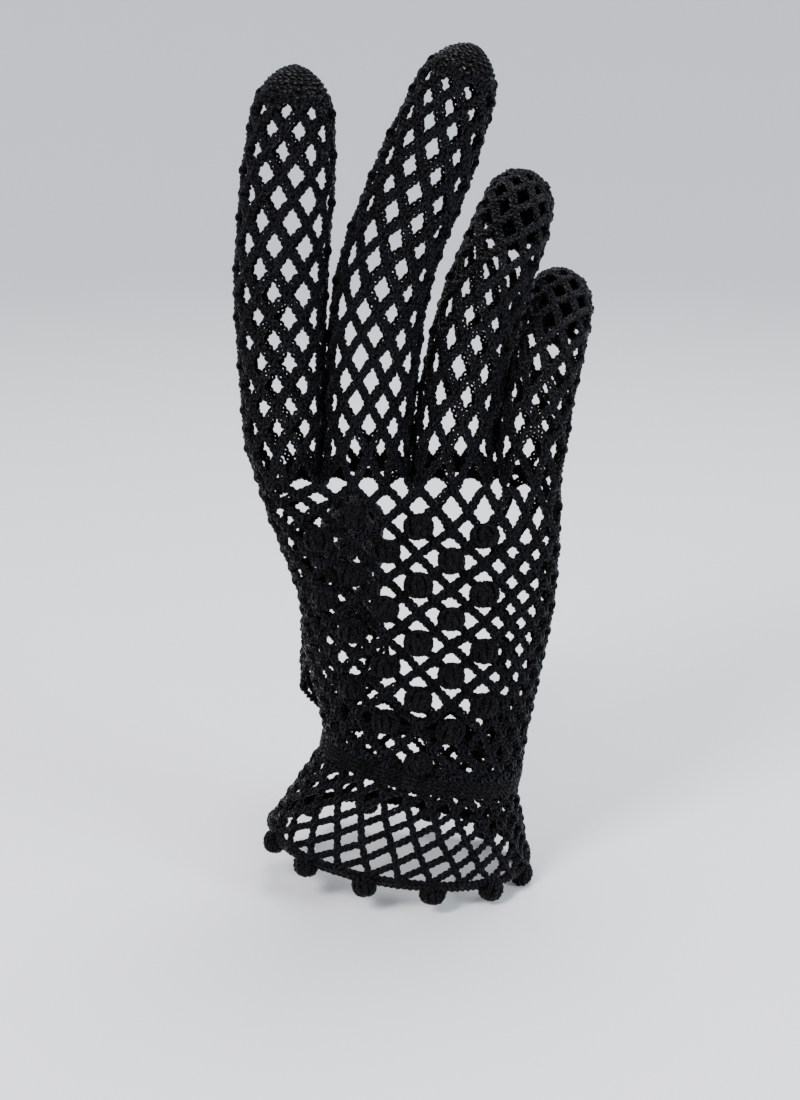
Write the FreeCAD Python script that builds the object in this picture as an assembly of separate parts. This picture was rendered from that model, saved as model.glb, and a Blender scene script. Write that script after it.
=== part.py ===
import FreeCAD, Part

"""Crocheted lace glove for a right hand, in its worn shape, standing fingers up.

Millimetres. +Z runs from the cuff to the fingertips, the back of the hand faces -Y, the palm faces +Y,
the index finger is on the -X side. The origin is the centre of the wrist opening.
Every layer of chain-stitch net is one thin open shell. The stalls are divided where the hand's joints bend
them.
"""

import math
import os
from collections import namedtuple
from FreeCAD import Vector

# ---- layers -----------------------------------------------------------------------------------------
NET = 1.8                   # thickness of a layer of chain-stitch net
CLEAR = 0.05                # room between pieces whose curved faces follow each other
FAR = 300.0                 # side of the blocks used as half spaces
OUTLINE_POINTS = 24         # round the hand, band or cuff
STALL_POINTS = 16           # round a stall

# ---- cuff and wrist band ----------------------------------------------------------------------------
CUFF_TILT = 8.0             # the index side of the cuff's edge stands higher
CUFF_HALF_WIDTH = 33.5
CUFF_HALF_DEPTH = 27.0
CUFF_SQUARENESS = 2.1       # 2 is an ellipse, more is squarer
EDGING_HEIGHT = 1.6
EDGING_PROUD = 0.7
BOBBLE_COUNT = 12
BOBBLE_RADIUS = 2.9
BOBBLE_DROP = 0.9           # from the bottom of the edging to a bobble's centre
BAND_CENTRE = (5.3, 0.0, 22.0)
BAND_TILT = 12.0
BAND_HEIGHT = 4.6
BAND_PROUD = 0.9            # how far the dense band stands out from the net
WRIST_HALF_WIDTH = 25.4
WRIST_HALF_DEPTH = 19.0
ELASTIC_WIDTH = 2.0
ELASTIC_THICKNESS = 1.0

# ---- hand: height, centre x, half width, half depth, tilt, squareness of the outline ------------------
HAND_SECTIONS = [
    (37.0, 5.6, 27.6, 18.6, 9.0, 2.2),
    (50.0, 5.8, 29.9, 18.2, 5.0, 2.3),
    (63.0, 6.5, 31.6, 17.2, 2.0, 2.5),
    (76.0, 5.1, 34.0, 15.8, 0.0, 2.7),
    (87.0, 3.2, 36.2, 14.4, 0.0, 2.9),
    (96.0, 1.9, 37.4, 13.4, 0.0, 3.0),
]
HAND_TOP = HAND_SECTIONS[-1][0]
WEB_THICKNESS = 2.5
WEB_HALF_WIDTH = 4.5
WEB_HALF_DEPTH = 10.6

# ---- popcorn stitches on the back of the hand ---------------------------------------------------------
POPCORN_RADIUS = 3.0
POPCORN_COLUMN = 15.6       # two loops of the net
POPCORN_TOP = 85.8
POPCORN_ROW = 7.0           # two rows of the net
POPCORN_SLOPE = 0.15        # the rows drop towards the little finger
POPCORN_CENTRE = 4.4
POPCORN_ROWS = [(-1, 0, 1)] * 5 + [(0, 1), (-1, 0, 1), (0, 1), (0,)]     # columns in each row, from the top

# ---- digits -------------------------------------------------------------------------------------------
# hinges: length of the stall at its base, middle and tip hinge; length: at the very tip
# lean: degrees towards the little finger; curl: degrees towards the palm; one value per phalanx, root first
# hinge_lean: lean of each hinge's axis from -X; half_width: at the root, each hinge and the rounded end
# ranges: least and greatest turn of the hinges that move on their own
Digit = namedtuple("Digit", "root along flexes hinges length lean curl hinge_lean half_width ranges")
UP = Vector(0, 0, 1)
PALMWARD = Vector(0, 1, 0)
DIGITS = {
    "index": Digit(
        Vector(-27.8, 0, HAND_TOP), UP, PALMWARD, (10, 45, 71), 95.0, (0, -2, 5, 4), (0, 1, 3, 5),
        (-1, 1, 2), (8.4, 9.2, 10.3, 10.3, 9.1), ((-10, 75), (-5, 85)),
    ),
    "middle": Digit(
        Vector(-7.9, 0, HAND_TOP), UP, PALMWARD, (10, 47, 76), 104.0, (0, 4, 22, 22), (0, 1, 4, 6),
        (4, 14, 20), (10.2, 10.3, 10.5, 10.2, 8.8), ((-10, 75), (-5, 85)),
    ),
    "ring": Digit(
        Vector(12.7, 0, HAND_TOP), UP, PALMWARD, (10, 40, 67), 91.0, (0, 12, 27, 30), (0, 18, 45, 70),
        (10, 14, 15), (9.7, 9.8, 9.8, 9.3, 8.4), ((-15, 52), (-20, 52)),
    ),
    "little": Digit(
        Vector(31.3, 0, HAND_TOP), UP, PALMWARD, (9, 33, 53), 70.0, (0, 15, 27, 31), (0, 38, 66, 88),
        (11, 14, 15), (8.2, 8.5, 8.4, 8.0, 7.4), ((-20, 36), (-15, 50)),
    ),
    "thumb": Digit(
        Vector(-13, 4, 39), Vector(-0.08, 0.91, 0.40), Vector(0.913, 0.253, -0.306), (31, 54), 78.0,
        (0, 0, 0), (0, 6, 16), (0, 0), (10.6, 9.6, 9.3, 8.4), ((-10, 40), (-10, 60)),
    ),
}
TIP_RATIO = 0.6             # the tip hinge of a finger follows its middle hinge by this much
ROOT_DEPTH = 1.12           # depth of a stall over its width at the root
TIP_DEPTH = 0.96            # and at the rounded end
BEND_HALF_LENGTH = (9.0, 12.0, 8.0)
DOME_HEIGHT = 1.15          # of the rounded end, over its half width
HINGE_MARGIN = 0.4          # room left when a hinge reaches its limit
RING_SPACING = 6.0          # between the cross sections of a stall
DOME_RINGS = (0.3, 0.55, 0.75, 0.9, 0.98)   # heights of the cross sections of the rounded end
ROSETTE_LENGTH = 5.0
KNOT_RADIUS = 1.5
KNOT_SUNK = 0.6             # depth of the knot's centre in the rosette
FINGER_PHALANGES = [("base", "lower"), ("middle", "middle"), ("tip", "upper")]
THUMB_PHALANGES = [("base", "lower"), ("tip", "upper")]
WEBS = {"web_index_middle": -18.8, "web_middle_ring": 2.7, "web_ring_little": 22.8}


# ---- vectors and outlines -----------------------------------------------------------------------------
def blend(low, high, amount):
    return low + (high - low) * min(max(amount, 0.0), 1.0)


def tilted_axis(tilt):
    """Upward axis of a ring whose index side stands higher by tilt degrees."""
    t = math.radians(tilt)
    return Vector(math.sin(t), 0, math.cos(t))


def outline(centre, side, front, half_width, half_depth, squareness, points):
    """Closed smooth superellipse in the plane of side and front."""
    corners = []
    for k in range(points):
        turn = 2 * math.pi * k / points
        c, s = math.cos(turn), math.sin(turn)
        x = math.copysign(abs(c) ** (2 / squareness), c) * half_width
        y = math.copysign(abs(s) ** (2 / squareness), s) * half_depth
        corners.append(centre + side * x + front * y)
    curve = Part.BSplineCurve()
    curve.interpolate(Points=corners, PeriodicFlag=True)
    return Part.Wire([curve.toShape()])


def tilted_outline(centre, tilt, half_width, half_depth, squareness=CUFF_SQUARENESS):
    """Outline of the cuff, band or hand, tilted so that the index side stands higher."""
    side = PALMWARD.cross(tilted_axis(tilt))
    return outline(Vector(*centre), side, PALMWARD, half_width, half_depth, squareness, OUTLINE_POINTS)


def loft(wires):
    return Part.makeLoft(wires, True, False)


def tilted_ring(centre, tilt, height, outer, inner):
    """Ring between two parallel tilted planes; outer and inner are (half width, half depth)."""
    half = tilted_axis(tilt) * (height / 2)
    walls = []
    for half_width, half_depth in (outer, inner):
        ends = [Vector(*centre) - half, Vector(*centre) + half]
        walls.append(loft([tilted_outline(end, tilt, half_width, half_depth) for end in ends]))
    return walls[0].cut(walls[1])


def half_space(point, normal):
    """Block whose face passes through point, on the side that normal points to."""
    block = Part.makeBox(FAR, FAR, FAR, Vector(-FAR / 2, -FAR / 2, 0))
    block.Placement = FreeCAD.Placement(point, FreeCAD.Rotation(UP, normal))
    return block


# ---- a digit's centre line, hinges and skin -----------------------------------------------------------
class Stall:
    """The stall of one digit: a tube along a centre line that bends at the digit's hinges."""

    def __init__(self, name, digit):
        self.name = name
        self.digit = digit
        self.dome_start = digit.length - DOME_HEIGHT * digit.half_width[-1]
        self.along = Vector(digit.along).normalize()
        across = Vector(digit.flexes).cross(self.along).normalize()
        self.across = across
        self.flexes = self.along.cross(across).normalize()
        self.points = [Vector(digit.root)]
        for k in range(int(digit.length)):
            self.points.append(self.points[-1] + self.direction(k + 0.5))

    def angle(self, values, s):
        """Lean or curl at length s, turning smoothly at each hinge."""
        total = values[0]
        for k, hinge in enumerate(self.digit.hinges):
            reach = BEND_HALF_LENGTH[k]
            amount = min(max((s - hinge + reach) / (2 * reach), 0.0), 1.0)
            total += (values[k + 1] - values[k]) * amount
        return math.radians(total)

    def to_world(self, across, flexes, along):
        return self.across * across + self.flexes * flexes + self.along * along

    def direction(self, s):
        lean = self.angle(self.digit.lean, s)
        curl = self.angle(self.digit.curl, s)
        return self.to_world(math.sin(lean) * math.cos(curl), math.sin(curl), math.cos(lean) * math.cos(curl))

    def sideways(self, lean):
        """Unit vector across the digit, leaning by that many radians."""
        return self.to_world(math.cos(lean), 0, -math.sin(lean)).normalize()

    def hinge_axis(self, k):
        """A positive turn about it curls the digit towards the palm."""
        return self.sideways(math.radians(self.digit.hinge_lean[k])) * -1

    def place(self, s):
        k = min(int(s), len(self.points) - 2)
        return self.points[k] + (self.points[k + 1] - self.points[k]) * (s - k)

    def half_sizes(self, s):
        """Half width and half depth of the outer skin before the rounded end."""
        widths = self.digit.half_width
        stations = (0.0,) + tuple(self.digit.hinges) + (self.dome_start,)
        width = widths[-1]
        for k in range(len(stations) - 1):
            if s <= stations[k + 1]:
                share = (s - stations[k]) / (stations[k + 1] - stations[k])
                width = blend(widths[k], widths[k + 1], share)
                break
        depth = blend(ROOT_DEPTH, TIP_DEPTH, s / stations[-1])
        return width, width * depth

    def ring(self, s, shrink=0.0, inset=0.0):
        """Cross section at length s, shrunk in proportion and set in by a constant."""
        normal = self.direction(s)
        side = self.sideways(self.angle(self.digit.lean, s))
        front = normal.cross(side)
        width, depth = self.half_sizes(s)
        scale = 1 - shrink
        return outline(self.place(s), side, front, (width - inset) * scale, (depth - inset) * scale,
                       2.0, STALL_POINTS)

    def skin(self, inset=0.0):
        """Solid inside the outer skin, or inside a skin set in from it, closed by a rounded end."""
        dome = self.dome_start
        height = self.digit.length - dome - inset
        steps = int(dome / RING_SPACING)
        wires = [self.ring(dome * k / steps, inset=inset) for k in range(steps + 1)]
        for rise in DOME_RINGS:
            shrink = 1 - math.sqrt(1 - rise ** 2)
            wires.append(self.ring(dome + height * rise, shrink, inset))
        return loft(wires)

    def slant_planes(self, k):
        """Planes that bound the flexing part of hinge k, as ((point, normal), (point, normal))."""
        s = self.digit.hinges[k]
        least, most = hinge_range(self.digit, k)
        depth = self.half_sizes(s)[1]
        axis = self.hinge_axis(k)
        normal = self.direction(s)
        normal = (normal - axis * normal.dot(axis)).normalize()
        flexes = axis.cross(normal)
        back = depth * math.tan(math.radians(-least) / 2) + HINGE_MARGIN
        front = depth * math.tan(math.radians(most) / 2) + HINGE_MARGIN
        rise = (front + back) / 2
        slant = (front - back) / (2 * depth)
        low = (self.place(s) - normal * rise, (normal + flexes * slant).normalize())
        high = (self.place(s) + normal * rise, (normal - flexes * slant).normalize())
        return low, high

    def pieces(self, shell):
        """The net shell divided at the hinges, as {node: solid}. A thumb starts with its gusset."""
        thumb = self.name == "thumb"
        phalanges = THUMB_PHALANGES if thumb else FINGER_PHALANGES
        labels = ["gusset"] if thumb else []
        for flex, stall in phalanges:
            labels += [f"{flex}_flex", f"{stall}_stall"]
        labels.append("tip_rosette")
        cuts = []
        for k in range(len(self.digit.hinges)):
            cuts += self.slant_planes(k)
        rosette_start = self.digit.length - ROSETTE_LENGTH
        cuts.append((self.place(rosette_start), self.direction(rosette_start)))
        if not thumb:
            cuts = cuts[1:]
        found = {}
        for label, low, high in zip(labels, [None] + cuts, cuts + [None]):
            piece = shell
            if low:
                piece = piece.common(half_space(*low))
            if high:
                piece = piece.cut(half_space(*high))
            found[f"{self.name}_{label}"] = piece
        tip = self.place(self.digit.length) - self.direction(self.digit.length) * KNOT_SUNK
        rosette = f"{self.name}_tip_rosette"
        found[rosette] = found[rosette].fuse(Part.makeSphere(KNOT_RADIUS, tip))
        return found


def hinge_range(digit, k):
    """Least and greatest turn of hinge k in degrees."""
    if k < len(digit.ranges):
        return digit.ranges[k]
    return tuple(TIP_RATIO * limit for limit in digit.ranges[-1])


# ---- hand, cuff and trims -----------------------------------------------------------------------------
def hand_solid(offset, top=HAND_TOP):
    """Solid inside the hand's outline moved out by offset. Its last section stands at height top."""
    start = Vector(*BAND_CENTRE) + tilted_axis(BAND_TILT) * (BAND_HEIGHT / 2)
    wires = [tilted_outline(start, BAND_TILT, WRIST_HALF_WIDTH + offset, WRIST_HALF_DEPTH + offset)]
    for height, x, half_width, half_depth, tilt, squareness in HAND_SECTIONS:
        centre = (x, 0, min(height, top))
        wires.append(tilted_outline(centre, tilt, half_width + offset, half_depth + offset, squareness))
    return loft(wires)


def hand_pieces(stalls):
    """Back, palm, the knuckle round that the fingers start from, its webs, and the popcorns."""
    web_bottom = HAND_TOP - WEB_THICKNESS
    shell = hand_solid(0.0).cut(hand_solid(-NET, web_bottom))
    for name, stall in stalls.items():
        if name == "thumb":
            shell = shell.cut(stall.skin(-CLEAR))
        else:
            hole = Part.Face(stall.ring(0, inset=NET))
            shell = shell.cut(hole.extrude(Vector(0, 0, -2 * WEB_THICKNESS)))
    found = {}
    for name, x in WEBS.items():
        block = Part.makeBox(2 * WEB_HALF_WIDTH, 2 * WEB_HALF_DEPTH, 2 * WEB_THICKNESS,
                             Vector(x - WEB_HALF_WIDTH, -WEB_HALF_DEPTH, web_bottom))
        found[name] = shell.common(block)
        shell = shell.cut(block)
    above_walls = half_space(Vector(0, 0, web_bottom), UP)
    walls = shell.cut(above_walls)
    palm_side = half_space(Vector(0, 0, 0), PALMWARD)
    found["knuckle_round"] = shell.common(above_walls)
    found["back_net"] = walls.cut(palm_side)
    found["palm_net"] = walls.common(palm_side)
    found["back_popcorns"] = popcorns(hand_solid(CLEAR))
    return found


def back_point(hand, x, z):
    """Point of the back of the hand at x and z."""
    ray = Part.makeLine(Vector(x, 0, z), Vector(x, -FAR, z))
    return Vector(x, min(vertex.Y for vertex in ray.common(hand).Vertexes), z)


def popcorns(hand):
    """Dense raised clusters standing on the net of the back, each a dome on its tangent plane."""
    clusters = []
    for row, columns in enumerate(POPCORN_ROWS):
        for column in columns:
            x = POPCORN_CENTRE + POPCORN_COLUMN * (column - 0.5 * (row % 2))
            z = POPCORN_TOP - POPCORN_ROW * row - POPCORN_SLOPE * (x - POPCORN_CENTRE)
            foot = back_point(hand, x, z)
            sideways = back_point(hand, x + 1, z) - back_point(hand, x - 1, z)
            upwards = back_point(hand, x, z + 1) - back_point(hand, x, z - 1)
            outward = sideways.cross(upwards).normalize()
            foot += outward * CLEAR
            clusters.append(Part.makeSphere(POPCORN_RADIUS, foot, outward, 0, 90, 360))
    return Part.makeCompound(clusters)


def cuff_pieces():
    """Cuff, its edging and bobbles, and the band with its elastic."""
    band_bottom = Vector(*BAND_CENTRE) - tilted_axis(BAND_TILT) * (BAND_HEIGHT / 2)
    edge_axis = tilted_axis(CUFF_TILT)
    walls = []
    for inset in (0.0, NET):
        walls.append(loft([
            tilted_outline((0, 0, 0), CUFF_TILT, CUFF_HALF_WIDTH - inset, CUFF_HALF_DEPTH - inset),
            tilted_outline(band_bottom, BAND_TILT, WRIST_HALF_WIDTH - inset, WRIST_HALF_DEPTH - inset),
        ]))
    edging_outer = (CUFF_HALF_WIDTH + EDGING_PROUD, CUFF_HALF_DEPTH + EDGING_PROUD)
    edging_inner = (CUFF_HALF_WIDTH - NET - EDGING_PROUD / 2, CUFF_HALF_DEPTH - NET - EDGING_PROUD / 2)
    edging_centre = edge_axis * (-EDGING_HEIGHT / 2)
    band_outer = (WRIST_HALF_WIDTH + BAND_PROUD, WRIST_HALF_DEPTH + BAND_PROUD)
    band_inner = (WRIST_HALF_WIDTH - NET, WRIST_HALF_DEPTH - NET)
    groove = (band_inner[0] + ELASTIC_THICKNESS, band_inner[1] + ELASTIC_THICKNESS)
    elastic_outer = (groove[0] - CLEAR, groove[1] - CLEAR)
    elastic_inner = (band_inner[0] + CLEAR, band_inner[1] + CLEAR)
    elastic_height = ELASTIC_WIDTH - 2 * CLEAR
    band = tilted_ring(BAND_CENTRE, BAND_TILT, BAND_HEIGHT, band_outer, band_inner)
    hollow = (band_inner[0] - NET, band_inner[1] - NET)
    channel = tilted_ring(BAND_CENTRE, BAND_TILT, ELASTIC_WIDTH, groove, hollow)
    return {
        "cuff_net": walls[0].cut(walls[1]),
        "cuff_edging": tilted_ring(edging_centre, CUFF_TILT, EDGING_HEIGHT, edging_outer, edging_inner),
        "edge_bobbles": edge_bobbles(edge_axis),
        "wrist_band": band.cut(channel),
        "wrist_elastic": tilted_ring(BAND_CENTRE, BAND_TILT, elastic_height, elastic_outer, elastic_inner),
    }


def edge_bobbles(edge_axis):
    """Popcorns that hang from the edging, evenly spaced round it, each flat where it meets the edging."""
    below = edge_axis * -(EDGING_HEIGHT + BOBBLE_DROP)
    side = PALMWARD.cross(edge_axis)
    half_width = CUFF_HALF_WIDTH - NET / 2
    half_depth = CUFF_HALF_DEPTH - NET / 2
    flat = math.degrees(math.asin(BOBBLE_DROP / BOBBLE_RADIUS))
    balls = []
    for k in range(BOBBLE_COUNT):
        turn = 2 * math.pi * (k + 0.5) / BOBBLE_COUNT
        centre = below + side * (half_width * math.cos(turn)) + PALMWARD * (half_depth * math.sin(turn))
        balls.append(Part.makeSphere(BOBBLE_RADIUS, centre, edge_axis, -90, flat, 360))
    return Part.makeCompound(balls)


def digit_pieces(stalls):
    found = {}
    hand = hand_solid(CLEAR)
    for name, stall in stalls.items():
        shell = stall.skin().cut(stall.skin(NET))
        if name == "thumb":
            shell = shell.cut(hand)
        found.update(stall.pieces(shell))
    return found


def main():
    os.makedirs("parts", exist_ok=True)
    stalls = {name: Stall(name, digit) for name, digit in DIGITS.items()}
    pieces = {}
    pieces.update(cuff_pieces())
    pieces.update(hand_pieces(stalls))
    pieces.update(digit_pieces(stalls))
    for name, shape in pieces.items():
        solids = shape.Solids
        state = "ok" if shape.isValid() else "INVALID"
        print(f"{name:24s} {len(solids):3d} solids {shape.Volume:9.1f} mm3 {state}")
        whole = solids[0] if len(solids) == 1 else Part.makeCompound(solids)
        whole.exportStep(f"parts/{name}.step")


if __name__ == "__main__":
    main()
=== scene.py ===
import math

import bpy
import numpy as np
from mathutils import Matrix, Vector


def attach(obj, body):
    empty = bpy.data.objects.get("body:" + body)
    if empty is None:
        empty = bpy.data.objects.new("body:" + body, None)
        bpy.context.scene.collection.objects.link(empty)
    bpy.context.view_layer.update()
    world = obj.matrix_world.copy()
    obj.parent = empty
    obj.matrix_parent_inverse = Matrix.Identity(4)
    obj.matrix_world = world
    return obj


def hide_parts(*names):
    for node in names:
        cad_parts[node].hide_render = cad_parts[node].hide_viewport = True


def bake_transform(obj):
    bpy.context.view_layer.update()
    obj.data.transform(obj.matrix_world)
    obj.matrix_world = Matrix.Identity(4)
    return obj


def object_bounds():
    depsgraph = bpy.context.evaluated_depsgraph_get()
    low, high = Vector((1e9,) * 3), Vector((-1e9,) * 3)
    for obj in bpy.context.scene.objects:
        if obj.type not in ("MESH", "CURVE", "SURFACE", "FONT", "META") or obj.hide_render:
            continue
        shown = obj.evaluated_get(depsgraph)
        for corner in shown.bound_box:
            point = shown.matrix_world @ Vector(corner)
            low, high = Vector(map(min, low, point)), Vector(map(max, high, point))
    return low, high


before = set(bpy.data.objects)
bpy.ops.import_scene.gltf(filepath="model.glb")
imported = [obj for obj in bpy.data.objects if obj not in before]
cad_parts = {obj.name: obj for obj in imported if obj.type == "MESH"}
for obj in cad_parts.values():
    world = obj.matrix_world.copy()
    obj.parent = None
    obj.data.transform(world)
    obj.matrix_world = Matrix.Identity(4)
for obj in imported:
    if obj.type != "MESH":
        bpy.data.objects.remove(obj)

# Crocheted lace glove around its CAD frame. Every layer of net is worked stitch by stitch from plaited yarn.
#
# Lengths are in millimetres until a mesh is made. A net is a set of chain arcs on a surface. Its coordinates
# are the loop round the tube and the row along it: each arc leaves one knot, rises to a knot of the next row
# and ends at the first knot's neighbour.

cad_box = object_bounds()
SEED = 11
rng = np.random.default_rng(SEED)
MM = 0.001

# ---- yarn ----------------------------------------------------------------------------------------
YARN = 0.43                 # radius of one strand
YARN_ROUGHNESS = 0.10       # how unevenly a strand is spun, as a share of its radius
CHAIN_LIFT = 0.36           # how far a strand of the plait rises and dips
STITCH = 1.5                # one stitch of a chain
FINGER_CHAIN, HAND_CHAIN, CUFF_CHAIN = 2.5, 2.35, 2.05      # widths of the chains
WEB_CHAIN, ROSETTE_CHAIN, HOLE_CHAIN = 1.9, 2.1, 2.1
SIDES = 5                   # of a strand's cross section
ARC_SAMPLES = 24
APEX_ROUND = 0.35           # rounding of an arc's top, as a share of half the arc
KNOT_SIZE, KNOT_DEPTH = 0.95, 0.76      # half the height of a knot's loops, and half their depth
KNOT_SPREAD, KNOT_SAMPLES = 0.5, 9      # the two loops stand this far to either side of the crossing
KNOT_SLANTS, KNOT_HEIGHTS = (0.2, 1.0), (0.9, 1.15)     # least and most of a loop's slant and height
TWIST_PITCH = 1.1           # of the yarn's two plies
GROOVE_DEPTH, GLOSS = 0.0002, 0.085     # depth between the plies in metres, and specular level
CLOUDS, FIBRES = 260.0, 5200.0          # scales of the dye's and the fibres' noise, for each metre
NET = 1.8                   # thickness of the net: chains lie in the middle of it
DIGIT_INSET = 0.2           # the fingers' net stands nearer the skin of its tube, as it is stretched

# ---- the glove's dimensions, as in the CAD -------------------------------------------------------
# height, centre x, half width, half depth, tilt, squareness
CUFF = np.array([(0.0, 0.0, 33.5, 27.0, 8.0, 2.1), (19.75, 4.82, 25.4, 19.0, 12.0, 2.1)])
BAND_CENTRE, BAND_TILT, BAND_SIZE = (5.3, 0.0, 22.0), 12.0, (25.4, 19.0)
BAND_TOP_X, BAND_TOP_Z = 5.78, 24.65
BAND_ROUNDS, BAND_INSET = (-1.65, -0.55, 0.55, 1.65), 0.35      # heights about the band's middle
ELASTIC_ROUNDS, ELASTIC_INSET = (-0.5, 0.5), 1.45
EDGING_ROUNDS = (-0.35, 0.35, 2.3), (-1.35, -0.25, 2.2)     # height, distance outside the net, width
HAND = np.array([
    (24.25, 5.78, 25.4, 19.0, 12.0, 2.1),
    (37.0, 5.6, 27.6, 18.6, 9.0, 2.2),
    (50.0, 5.8, 29.9, 18.2, 5.0, 2.3),
    (63.0, 6.5, 31.6, 17.2, 2.0, 2.5),
    (76.0, 5.1, 34.0, 15.8, 0.0, 2.7),
    (87.0, 3.2, 36.2, 14.4, 0.0, 2.9),
    (96.0, 1.9, 37.4, 13.4, 0.0, 3.0),
])
WEBS = {"index_middle": -18.8, "middle_ring": 2.7, "ring_little": 22.8}
WEB_TOP, WEB_GAP = 95.4, 1.15           # a web is two chains, each this far from its middle
WEB_LEVEL = slice(6, -6)    # the part of a web's chain that the fingers' lowest knots may hold on to
UP, PALMWARD = np.array((0.0, 0.0, 1.0)), np.array((0.0, 1.0, 0.0))

# ---- rows and loops of the nets; a step is how many loops each row is moved on from the one below
CUFF_LOOPS, CUFF_ROWS, CUFF_STEP = 24, 6, 0.72
HAND_LOOPS, HAND_ROWS, HAND_STEP = 22, 20, 0.5
HAND_TOP_ROW = 95.1         # height of the hand's last knots
FINGER_ROW, FINGER_STEP = 5.35, 0.5     # height of a row, and its step
CUFF_JITTER, HAND_JITTER, FINGER_JITTER = (0.03, 0.06), (0.03, 0.08), (0.035, 0.05)    # in loops and rows
BACK_CENTRE, BACK_PITCH, BACK_EVEN = 4.4, 7.8, 2    # loops near the back's middle stand under the popcorns
PALM_SPREAD, PALM_SHIFT = 1.07, 3       # the palm's loops are this much wider, and its rows stand higher
PALM_DEPTH = 12.0           # distance palmward over which the rows turn into the palm's
BAND_FADE = 4               # rows over which the hand's rows turn parallel to the band
ROW, ROW_SLOPE = 3.5, 0.15  # height of a row on the back, and its slope down to the little finger's side
PULLED = 0.45               # share of an arc that moves along with a knot at its end
TIP_CROWDING = {            # share of rows moved towards the tip, and a power that keeps them near it
    "index": (0.4, 4), "middle": (0.4, 4), "ring": (0.7, 2), "little": (0.72, 2), "thumb": (0.4, 4),
}
EYE = np.array((0.0, -490.0, 216.5))    # the camera: rows lie in planes through it, so both layers line up
EYE_LEAN = 0.6              # the most that a row may lean from square
LEAN_START, LEAN_STOP = 10.0, (8.0, 3.0)    # lengths over which rows start to lean, and stop by the dome

# ---- popcorns, bobbles and the ends of the fingers -----------------------------------------------
POPCORN_TOP, POPCORN_TOP_ROW = 85.8, 18
POPCORN_ROWS = [(-1, 0, 1)] * 5 + [(0, 1), (-1, 0, 1), (0, 1), (0,)]       # columns in each row, from the top
POPCORN_RADIUS, POPCORN_POSTS, POST_SAMPLES, POST_END = 3.2, 10, 19, 84    # posts end at this latitude
POST = {"width": 1.7, "strand": 0.4, "stitch": 1.25, "lift": 0.26}
POST_DEPTH = 0.75           # from the middle of a post to its outside
POPCORN_SHAPE = (1.22, 1.0, 1.0)        # its width, depth and height over its radius
POPCORN_FULLNESS = 0.6      # a smaller power makes a squarer block
POPCORN_SIZES, POPCORN_TURN = (0.92, 1.1), 0.16         # how popcorns differ in size, and in radians
POST_SHIFT, POST_SLANT = 0.15, 0.25     # how a popcorn's posts differ, in posts and in radians a radian
BOBBLES, BOBBLE_RADIUS = 12, 3.0
EDGING_HEIGHT, BOBBLE_DROP = 1.6, 1.1
ROSETTE_LENGTH = {"index": 6.6, "middle": 6.4, "ring": 8.6, "little": 10.2, "thumb": 6.4}
ROSETTE_SAMPLES, ROSETTE_ROUND = 800, 1.45      # points of the spiral, and the distance between its rounds
ROSETTE_WAVE, WAVE_FADE = 1.3, (0.8, 2.2)       # the first round dips into the openings, and the next less
ROSETTE_HOLE = 0.06         # radians left open at the very tip, where the knot sits
DOME_HEIGHT, DOME_POWER = 1.4, 0.6      # height for each half width; a power above 0.5 makes a pointed dome
ROOT_DEPTH, TIP_DEPTH = 1.12, 0.96      # depth of a stall over its width
BEND_HALF_LENGTH = (9.0, 12.0, 8.0)     # of the centre line's bend at each hinge

# The digits are the CAD's within 0.1 mm, but the index and middle fingers are wider and longer and lean more,
# so that they touch as in the photo.
# root, along, flexes, hinges, length, lean, curl, half widths, loops, greatest turn at each hinge
DIGITS = {
    "index": ((-27.8, 0, 96), UP, PALMWARD, (10, 45, 71), 95.5, (0, -1.2, 5.5, 4.5), (0, 1, 3, 5),
              (8.4, 9.6, 10.8, 10.8, 9.7), 9, (75, 85, 51)),
    "middle": ((-7.9, 0, 96), UP, PALMWARD, (10, 47, 76), 104.2, (0, 5, 22.5, 22), (0, 1, 4, 6),
               (10.1, 10.6, 11.1, 10.9, 9.5), 10, (75, 85, 51)),
    "ring": ((12.7, 0, 96), UP, PALMWARD, (10, 40, 67), 91.0, (0, 12, 27, 30), (0, 18, 45, 70),
             (9.6, 9.7, 9.7, 9.2, 8.4), 9, (52, 52, 31)),
    "little": ((31.3, 0, 96), UP, PALMWARD, (9, 33, 53), 70.0, (0, 15, 27, 31), (0, 38, 66, 88),
               (8.2, 8.6, 8.5, 8.1, 7.5), 8, (36, 50, 30)),
    "thumb": ((-13, 4, 39), (-0.08, 0.91, 0.40), (0.913, 0.253, -0.306), (31, 54), 78.0, (0, 0, 0),
              (0, 6, 16), (10.6, 9.6, 9.3, 8.4), 9, (40, 60)),
}


# ---- vectors -------------------------------------------------------------------------------------
def unit(v):
    return v / np.linalg.norm(v, axis=-1, keepdims=True)


def ramp(x, low, high):
    return np.clip((x - low) / (high - low), 0.0, 1.0)


# ---- surfaces ------------------------------------------------------------------------------------
def section_at(table, height):
    """Sections at the given heights, by a cubic through the table's rows."""
    z = table[:, 0]
    slopes = np.gradient(table, z, axis=0)
    i = np.clip(np.searchsorted(z, height) - 1, 0, len(z) - 2)
    span = (z[i + 1] - z[i])[..., None]
    t = (np.asarray(height) - z[i])[..., None] / span
    return ((2 * t ** 3 - 3 * t ** 2 + 1) * table[i] + (t ** 3 - 2 * t ** 2 + t) * span * slopes[i]
            + (3 * t ** 2 - 2 * t ** 3) * table[i + 1] + (t ** 3 - t ** 2) * span * slopes[i + 1])


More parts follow.
